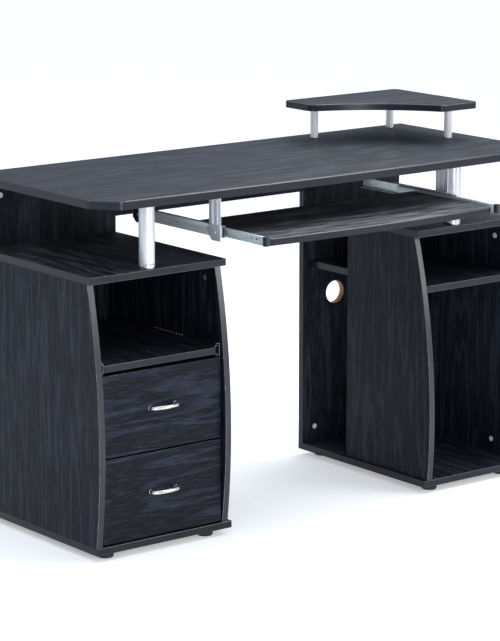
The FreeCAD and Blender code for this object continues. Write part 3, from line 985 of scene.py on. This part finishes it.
# ---------------------------------------------------------------------------------------------
# Ball slides and the hangers of the keyboard tray
# ---------------------------------------------------------------------------------------------
@dataclass
class BallSlides:
    """One pair of ball slides: folded outer and inner members, and a cage of balls between them."""

    title: str
    outer_nodes: tuple[str, ...]
    inner_nodes: tuple[str, ...]
    cage_node: str
    finish: Finish
    cage_finish: Finish
    sheet: float = 1.2 * MM
    fold: float = 0.5 * MM
    ball_pitch: float = 10.0 * MM
    ball_share: float = 0.92
    row_in: float = 7.7 * MM
    cage_sheet: float = 0.5 * MM
    cage_gap: float = 0.35 * MM
    race: float = 1.3 * MM
    cage_lip: float = 0.4 * MM
    hole: float = 2.6 * MM
    drill_depth: float = 6.0 * MM
    holes_at: tuple[float, ...] = (35.0 * MM, 131.0 * MM, 227.0 * MM, 323.0 * MM)   # behind the front end

    def build(self) -> None:
        """Fold the members of both sides and fill the cages."""
        outers = [(node, box) for node in self.outer_nodes for box in solid_boxes(node)]
        inners = [(node, box) for node in self.inner_nodes for box in solid_boxes(node)]
        done: set[str] = set()
        for kind, members in (("outer", outers), ("inner", inners)):
            for (node, box), side, toward in zip(members, ("left", "right"), (1, -1)):
                opening = toward if kind == "outer" else -toward
                member = self.fold_member(f"{self.title}_{kind}_{side}", box, opening)
                settle(member, node, self.finish, stands_for=node not in done)
                done.add(node)
        self.build_cages(outers, inners)

    def fold_member(self, name: str, box: tuple[Vector, Vector], opening: int) -> bpy.types.Object:
        """Fold one member from a strip of sheet and punch its holes.

        Args:
            name: the piece's name.
            box: the space it fills.
            opening: +1 if its open side faces right, -1 if left.

        Returns:
            The finished member.
        """
        low, high = box
        half = self.sheet / 2
        web_x = low.x + half if opening > 0 else high.x - half
        lip_x = high.x if opening > 0 else low.x
        middle = Vector((web_x, (low.y + high.y) / 2, (low.z + high.z) / 2))
        strip = Workpiece.start(name, bpy.ops.mesh.primitive_plane_add, size=1.0, location=middle,
                                rotation=(0.0, math.pi / 2, 0.0))
        with strip.editing():
            bpy.ops.mesh.select_all(action="SELECT")
            bpy.ops.transform.resize(value=(1.0, high.y - low.y, high.z - low.z - self.sheet),
                                     center_override=middle)
            for sign in (1, -1):
                strip.pick(Part.EDGES, lambda place, way: abs(way.y) > 0.9
                           and sign * (place.z - middle.z) > half and abs(place.x - web_x) < SAME)
                strip.extrude((lip_x - web_x, 0.0, 0.0))
        strip.thicken(self.sheet)
        strip.round_edges(self.fold, 2, 40.0)
        strip.finish_mesh()
        for index, distance in enumerate(self.holes_at):
            y = low.y + distance
            drill = Workpiece.start("drill", bpy.ops.mesh.primitive_cylinder_add, vertices=20, radius=self.hole,
                                    depth=self.drill_depth, location=(web_x, y, middle.z),
                                    rotation=(0.0, math.pi / 2, 0.0))
            if index % 2:
                with drill.editing():
                    bpy.ops.mesh.select_all(action="SELECT")
                    bpy.ops.transform.resize(value=(1.0, 0.6, 1.7), center_override=(web_x, y, middle.z))
            strip.punch(drill)
        strip.finish_mesh()
        return strip.obj

    def build_cages(self, outers: Sequence[Member], inners: Sequence[Member]) -> None:
        """Lay two rows of balls and the strip that holds them into each slide.

        Args:
            outers: node and box of each outer member.
            inners: node and box of each inner member.
        """
        for index, (low, high) in enumerate(solid_boxes(self.cage_node)):
            outer, inner = outers[index][1], inners[index][1]
            toward = 1 if index == 0 else -1
            wall = outer[0].x if toward > 0 else outer[1].x
            race_low, race_high = inner[1].z, outer[1].z - self.sheet
            radius = (race_high - race_low) / 2 * self.ball_share
            row_x = wall + toward * self.row_in
            middle_z = (low.z + high.z) / 2
            rise = (race_low + race_high) / 2 - middle_z
            rows = [self.ball_row(row_x, low.y, high.y, middle_z + sign * rise, radius) for sign in (1, -1)]
            rider = join(f"{self.title}_balls_{('left', 'right')[index]}", rows)
            settle(rider, self.cage_node, BALL_STEEL, stands_for=False)
            cage = self.cage_strip(f"{self.title}_cage_{('left', 'right')[index]}", (low, high), wall, toward,
                                   row_x)
            settle(cage, self.cage_node, self.cage_finish, stands_for=index == 0)

    def ball_row(self, x: float, front: float, back: float, z: float, radius: float) -> bpy.types.Object:
        """Lay a row of balls between two depths.

        Args:
            x: the row's place along the desk.
            front: the cage's front end.
            back: the cage's back end.
            z: the row's height.
            radius: of a ball.

        Returns:
            The row as one object.
        """
        ball = Workpiece.start("ball", bpy.ops.mesh.primitive_ico_sphere_add, subdivisions=2, radius=radius,
                               location=(x, front + self.ball_pitch * 0.6, z))
        count = int((back - front - self.ball_pitch) // self.ball_pitch) + 1
        ball.apply("ARRAY", count=count, use_relative_offset=False, use_constant_offset=True,
                   constant_offset_displace=(0.0, self.ball_pitch, 0.0))
        bpy.ops.object.select_all(action="DESELECT")
        ball.obj.select_set(True)
        bpy.ops.object.shade_smooth()
        return ball.obj

    def cage_strip(self, name: str, box: tuple[Vector, Vector], wall: float, toward: int,
                   row_x: float) -> bpy.types.Object:
        """Fold the strip that keeps the balls apart, lying just inside the outer member.

        Args:
            name: the piece's name.
            box: the space it fills.
            wall: the outer member's outer side.
            toward: +1 if the member opens to the right, -1 if to the left.
            row_x: the balls' place along the desk.

        Returns:
            The strip.
        """
        low, high = box
        thin = self.cage_sheet
        back_x = wall + toward * (self.sheet + self.cage_gap + thin / 2)
        middle = Vector((back_x, (low.y + high.y) / 2, (low.z + high.z) / 2))
        strip = Workpiece.start(name, bpy.ops.mesh.primitive_plane_add, size=1.0, location=middle,
                                rotation=(0.0, math.pi / 2, 0.0))
        with strip.editing():
            bpy.ops.mesh.select_all(action="SELECT")
            bpy.ops.transform.resize(value=(1.0, high.y - low.y, high.z - low.z - 2 * self.race),
                                     center_override=middle)
            for sign in (1, -1):
                strip.pick(Part.EDGES, lambda place, way: abs(way.y) > 0.9
                           and sign * (place.z - middle.z) > thin and abs(place.x - back_x) < SAME)
                strip.extrude((row_x + toward * self.cage_lip - back_x, 0.0, 0.0))
        strip.thicken(thin)
        strip.finish_mesh()
        return strip.obj


@dataclass
class TrayHanger:
    """A pressed steel strip that hangs one end of a tray slide under the desktop."""

    node: str
    toward: int
    finish: Finish
    sheet: float = 2.0 * MM
    rib_height: float = 1.6 * MM
    rib_width: float = 7.0 * MM
    rib_shares: tuple[float, float] = (0.3, 0.7)
    bend: float = 3.0 * MM
    chamfer: float = 9.0 * MM
    rib_clear_low: float = 2.0 * MM
    rib_clear_high: float = 6.0 * MM
    rib_side: float = 1.5 * MM
    rib_inside: float = 0.1 * MM
    edge: float = 0.3 * MM
    slide_top: float = 0.0

    def build(self) -> None:
        """Press the ribs, cut the corner and fold the flange."""
        low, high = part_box(self.node)
        half = self.sheet / 2
        outer_x = low.x if self.toward > 0 else high.x
        web_x = outer_x + self.toward * (self.rib_height + half)
        tip_x = high.x if self.toward > 0 else low.x
        top_z = high.z - half
        middle = Vector((web_x, (low.y + high.y) / 2, (low.z + top_z) / 2))
        width = high.y - low.y
        piece = Workpiece.start(self.node + "_pressed", bpy.ops.mesh.primitive_plane_add, size=1.0,
                                location=middle, rotation=(0.0, math.pi / 2, 0.0))
        ribs = [high.y - share * width for share in self.rib_shares]
        rib_low, rib_high = self.slide_top + self.rib_clear_low, top_z - self.rib_clear_high
        with piece.editing():
            bpy.ops.mesh.select_all(action="SELECT")
            bpy.ops.transform.resize(value=(1.0, width, top_z - low.z), center_override=middle)
            for rib in ribs:
                for sign in (1, -1):
                    piece.cut((0.0, rib + sign * self.rib_width / 2, 0.0), (0.0, 1.0, 0.0))
            for z in (rib_low, rib_high):
                piece.cut((0.0, 0.0, z), (0.0, 0.0, 1.0))
            corner = Vector((web_x, high.y - self.chamfer / 2, low.z + self.chamfer / 2))
            piece.cut(corner, (0.0, 1.0, -1.0), drop=True)
            piece.pick(Part.FACES, lambda place, normal: rib_low < place.z < rib_high and
                       any(abs(place.y - rib) < self.rib_width / 2 for rib in ribs))
            bpy.ops.mesh.inset(thickness=self.rib_side, use_individual=True)
            bpy.ops.transform.translate(value=(-self.toward * (self.rib_height - self.rib_inside), 0.0, 0.0))
            piece.pick(Part.EDGES, lambda place, way: abs(way.y) > 0.9 and abs(place.z - top_z) < SAME)
            piece.extrude((tip_x - web_x, 0.0, 0.0))
            piece.pick(Part.EDGES, lambda place, way: abs(way.y) > 0.9 and abs(place.z - top_z) < SAME
                       and abs(place.x - web_x) < SAME)
            bpy.ops.mesh.bevel(offset=self.bend, segments=4, affect="EDGES")
        piece.thicken(self.sheet)
        piece.round_edges(self.edge, 2, 50.0)
        piece.finish_mesh(30.0)
        settle(piece.obj, self.node, self.finish)


@dataclass
class TrayFittings:
    """Everything that carries the keyboard tray: hangers, screws, slides and front stops."""

    recess: float = 1.1 * MM
    slide_holes: tuple[float, ...] = (31.0 * MM, 49.0 * MM, 155.0 * MM, 173.0 * MM, 270.0 * MM)
    stop_nose: float = 2.0 * MM
    stop_border: float = 1.6 * MM
    stop_sunk: float = 0.8 * MM
    stop_edge: float = 0.4 * MM

    def build(self) -> None:
        """Build the hangers, then the slides, the screws and the stops."""
        slide_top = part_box("tray_slide_outer_left")[1].z
        for side, toward in (("left", 1), ("right", -1)):
            # The rear hangers take the dark finish: painted shade for the shade under the desktop.
            for place, finish in (("front", ZINC_HANGER), ("rear", SHADED_HANGER)):
                TrayHanger(f"tray_hanger_{place}_{side}", toward, finish, slide_top=slide_top).build()
        BallSlides("tray_slide", ("tray_slide_outer_left", "tray_slide_outer_right"),
                   ("tray_slide_inner_left", "tray_slide_inner_right"), "tray_slide_cages",
                   ZINC_PLATE, MOULDED_BLACK, holes_at=self.slide_holes).build()
        self.build_screws()
        self.build_stops()

    def build_screws(self) -> None:
        """A pan head with a cross recess, copied to each hanger."""
        boxes = solid_boxes("tray_hanger_screws")
        low, high = boxes[0]
        radius, height = (high.y - low.y) / 2, high.x - low.x
        head = Workpiece.start("pan_head", bpy.ops.mesh.primitive_cylinder_add, vertices=32, radius=radius,
                               depth=height, location=(0.0, 0.0, height / 2))
        with head.editing():
            head.pick(Part.EDGES, lambda place, way: abs(place.z - height) < SAME)
            bpy.ops.mesh.bevel(offset=height * 0.6, segments=4, affect="EDGES")
        arm = radius * 0.55
        crown = Vector((0.0, 0.0, height))
        for size in ((arm, arm * 0.3), (arm * 0.3, arm)):
            reach = Vector((size[0], size[1], self.recess))
            cutter = Workpiece.block("driver", crown - reach, crown + reach)
            head.punch(cutter)
        head.finish_mesh(30.0)
        middle = (CAD_BOX[0].x + CAD_BOX[1].x) / 2
        for index, box in enumerate(boxes):
            facing = Vector((-1.0 if box[0].x < middle else 1.0, 0.0, 0.0))
            screw = upright_copy(head, f"tray_hanger_screw_{index + 1}", box, facing)
            settle(screw, "tray_hanger_screws", SCREW_STEEL, stands_for=index == 0)
        head.scrap()

    def build_stops(self) -> None:
        """A rubber-like block on each inner member's front end, with a raised nose."""
        for index, (low, high) in enumerate(solid_boxes("tray_slide_stops")):
            stop = Workpiece.block(f"tray_slide_stop_{index + 1}", low, high)
            with stop.editing():
                stop.pick(Part.EDGES, lambda place, way: abs(way.y) < 0.1 and place.y < low.y + NEAR)
                bpy.ops.mesh.bevel(offset=self.stop_nose, segments=3, affect="EDGES")
                side_x = low.x if index == 0 else high.x
                stop.pick(Part.FACES, lambda place, normal: abs(place.x - side_x) < NEAR)
                bpy.ops.mesh.inset(thickness=self.stop_border, depth=-self.stop_sunk)
            stop.round_edges(self.stop_edge, 2, 50.0)
            stop.finish_mesh(30.0)
            settle(stop.obj, "tray_slide_stops", MOULDED_BLACK, stands_for=index == 0)


# ---------------------------------------------------------------------------------------------
# Drawers
# ---------------------------------------------------------------------------------------------
@dataclass
class BowHandle:
    """A bowed bar handle on two round feet, swept round its bends."""

    node: str
    bar_radius: float = 4.6 * MM
    foot_radius: float = 5.0 * MM
    foot_height: float = 1.6 * MM
    foot_edge: float = 0.4 * MM
    bend: float = 8.0 * MM
    lean: float = math.radians(16.0)
    around: int = 24

    def build(self) -> None:
        """Spin a round section along legs, bends and bow, then add the feet."""
        low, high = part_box(self.node)
        z = (low.z + high.z) / 2
        radius = self.bar_radius
        half = (high.x - low.x) / 2 - self.foot_radius
        middle_x = (low.x + high.x) / 2
        peak = low.y + radius
        bow_radius = (half - self.bend * (1.0 - math.sin(self.lean))) / math.sin(self.lean)
        end_y = peak + bow_radius * (1.0 - math.cos(self.lean))
        leg_y = end_y + self.bend * math.cos(self.lean)
        foot_y = high.y - self.foot_height
        bar = Workpiece.start(self.node + "_bar", bpy.ops.mesh.primitive_circle_add, vertices=self.around,
                              radius=radius, fill_type="NGON", location=(middle_x - half, foot_y, z),
                              rotation=(math.pi / 2, 0.0, 0.0))
        turn = math.pi / 2 - self.lean
        with bar.editing():
            bpy.ops.mesh.select_all(action="SELECT")
            bar.extrude((0.0, leg_y - foot_y, 0.0))
            for steps, angle, centre in (
                    (8, turn, (middle_x - half + self.bend, leg_y, z)),
                    (24, 2 * self.lean, (middle_x, peak + bow_radius, z)),
                    (8, turn, (middle_x + half - self.bend, leg_y, z))):
                bpy.ops.mesh.spin(steps=steps, angle=-angle, center=centre, axis=(0.0, 0.0, 1.0))
            bar.extrude((0.0, foot_y - leg_y, 0.0))
        bar.finish_mesh(50.0)
        pieces = [bar.obj]
        for sign in (-1, 1):
            foot = Workpiece.start("handle_foot", bpy.ops.mesh.primitive_cylinder_add, vertices=32,
                                   radius=self.foot_radius, depth=self.foot_height,
                                   location=(middle_x + sign * half, high.y - self.foot_height / 2, z),
                                   rotation=(math.pi / 2, 0.0, 0.0))
            with foot.editing():
                foot.pick(Part.EDGES, lambda place, way: abs(place.y - foot_y) < SAME)
                bpy.ops.mesh.bevel(offset=self.foot_edge, segments=3, affect="EDGES")
            foot.finish_mesh(40.0)
            pieces.append(foot.obj)
        settle(join(self.node + "_bowed", pieces), self.node, BRUSHED_NICKEL)


@dataclass
class Drawers:
    """The two drawers and the pull-out shelf above them."""

    names: tuple[str, str] = ("drawer_upper", "drawer_lower")

    def build(self) -> None:
        """Handles and slides are modelled; boxes and bottoms keep their CAD shape."""
        for name in self.names:
            BowHandle(name + "_handle").build()
            dress(frame["nodes"][name + "_box"], DRAWER_FOIL)
            dress(frame["nodes"][name + "_bottom"], HARDBOARD)
        for name in ("pull_out",) + self.names:
            BallSlides(name + "_slide", (name + "_slides_outer",), (name + "_slides_inner",),
                       name + "_slide_cages", BLACK_STEEL, BLACK_STEEL).build()


@dataclass
class CamCaps:
    """Round caps over the cam fittings, each with a sunk middle."""

    def build(self) -> None:
        """Model one cap, then turn a copy to face out of each panel."""
        boxes = solid_boxes("cam_heads")
        left_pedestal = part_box("left_top")
        sizes = [high - low for low, high in boxes]
        thin = min(min(size) for size in sizes)
        radius = max(max(size) for size in sizes) / 2
        cap = Workpiece.start("cap", bpy.ops.mesh.primitive_cylinder_add, vertices=32, radius=radius,
                              depth=thin, location=(0.0, 0.0, thin / 2))
        with cap.editing():
            cap.pick(Part.FACES, lambda place, normal: normal.z > 0.9)
            bpy.ops.mesh.inset(thickness=radius * 0.45)
            bpy.ops.mesh.inset(thickness=radius * 0.12, depth=-thin * 0.6)
            cap.pick(Part.EDGES, lambda place, way: abs(place.z - thin) < SAME
                     and place.xy.length > radius * 0.9)
            bpy.ops.mesh.bevel(offset=thin * 0.5, segments=3, affect="EDGES")
        cap.finish_mesh(30.0)
        for index, (low, high) in enumerate(boxes):
            size = high - low
            facing = Vector((0.0, -1.0, 0.0)) if size.y < size.x else Vector((-1.0, 0.0, 0.0))
            twin = upright_copy(cap, f"cam_cap_{index + 1}", (low, high), facing)
            in_compartment = left_pedestal[0].x < low.x < left_pedestal[1].x and facing.x < 0.0
            # The cap facing into the left compartment takes the darker nylon: painted shade for the
            # compartment's shade.
            settle(twin, "cam_heads", SHADED_NYLON_CAP if in_compartment else NYLON_CAP, stands_for=index == 0)
        cap.scrap()


# ---------------------------------------------------------------------------------------------
# Studio
# ---------------------------------------------------------------------------------------------
@dataclass(frozen=True)
class SoftBox:
    """A rectangular lamp: where it stands, what it points at, its size and its power."""

    name: str
    place: tuple[float, float, float]
    target: tuple[float, float, float]
    size: tuple[float, float]
    power: float


@dataclass
class Studio:
    """Pale floor, soft light and the camera."""

    camera_place: tuple[float, float, float] = (-3.7457, -4.6790, 1.6979)
    heading: float = 38.038
    pitch: float = 12.148
    lens: float = 157.94
    floor_size: float = 60.0
    boxes: tuple[SoftBox, ...] = (
        SoftBox("overhead_strip", (1.0, -0.2, 2.5), (0.1, -0.25, 0.7), (2.6, 1.2), 48.0),
        SoftBox("front_panel", (-1.15, -2.9, 0.85), (-0.5, -0.2, 0.6), (0.7, 1.5), 34.0),
        SoftBox("right_panel", (2.3, -3.2, 1.3), (0.0, -0.3, 0.45), (1.6, 1.3), 42.0),
        SoftBox("left_panel", (-3.2, 0.6, 1.3), (-0.6, 0.0, 0.5), (1.2, 1.6), 9.0),
    )

    def build(self) -> None:
        """Set up the floor, the surroundings, the lamps and the camera."""
        bpy.context.scene.view_settings.view_transform = "Standard"
        self.build_floor()
        self.build_surroundings()
        for box in self.boxes:
            self.build_lamp(box)
        self.build_camera()

    def build_floor(self) -> None:
        """A plain pale floor, a little self-lit so that it stays even to the horizon."""
        floor = Workpiece.start("studio_floor", bpy.ops.mesh.primitive_plane_add, size=self.floor_size)
        with floor.editing():
            bpy.ops.mesh.select_all(action="SELECT")
            bpy.ops.mesh.subdivide(number_cuts=3)
        paper = bpy.data.materials.new("studio_paper")
        paper.use_nodes = True
        shader = paper.node_tree.nodes["Principled BSDF"]
        shader.inputs["Base Color"].default_value = linear("#f0f0f2")
        shader.inputs["Roughness"].default_value = 0.9
        shader.inputs["Specular IOR Level"].default_value = 0.0
        shader.inputs["Emission Color"].default_value = linear("#ffffff")
        shader.inputs["Emission Strength"].default_value = 0.35
        floor.obj.data.materials.append(paper)

    def build_surroundings(self) -> None:
        """A studio that is dim near the horizon and bright overhead."""
        world = bpy.data.worlds.new("studio")
        bpy.context.scene.world = world
        world.use_nodes = True
        tree = world.node_tree
        place = add_node(tree, "ShaderNodeTexCoord")
        parts = add_node(tree, "ShaderNodeSeparateXYZ", links={"Vector": place.outputs["Generated"]})
        sky = add_ramp(tree, parts.outputs["Z"],
                       ((0.0, (0.14, 0.17, 0.23, 1.0)), (0.24, (0.15, 0.18, 0.24, 1.0)),
                        (0.45, (0.5, 0.57, 0.68, 1.0)), (0.8, (0.8, 0.9, 1.0, 1.0))))
        tree.links.new(sky, tree.nodes["Background"].inputs["Color"])
        tree.nodes["Background"].inputs["Strength"].default_value = 1.15

    def build_lamp(self, box: SoftBox) -> None:
        """Stand up one soft box that the camera itself does not see.

        Args:
            box: the lamp's place, aim, size and power.
        """
        light = bpy.data.lights.new(box.name, "AREA")
        light.shape = "RECTANGLE"
        light.size, light.size_y = box.size
        light.energy = box.power
        lamp = bpy.data.objects.new(box.name, light)
        lamp.location = box.place
        lamp.rotation_euler = (Vector(box.target) - Vector(box.place)).to_track_quat("-Z", "Y").to_euler()
        lamp.visible_camera = False
        bpy.context.scene.collection.objects.link(lamp)

    def build_camera(self) -> None:
        """The camera, level from side to side and tilted down."""
        data = bpy.data.cameras.new("camera")
        data.lens = self.lens
        data.clip_end = 200.0
        camera = bpy.data.objects.new("camera", data)
        camera.location = self.camera_place
        camera.rotation_euler = (math.radians(90.0 - self.pitch), 0.0, -math.radians(self.heading))
        bpy.context.scene.collection.objects.link(camera)
        bpy.context.scene.camera = camera


def main() -> None:
    """Build and dress the desk piece by piece, then set up the studio."""
    logging.basicConfig(level=logging.INFO, format="%(name)s: %(message)s")
    Boards().dress()
    Columns().build()
    RaisedPosts().build()
    Feet().build()
    TrayFittings().build()
    Drawers().build()
    CamCaps().build()
    Studio().build()


if __name__ == "__main__":
    main()
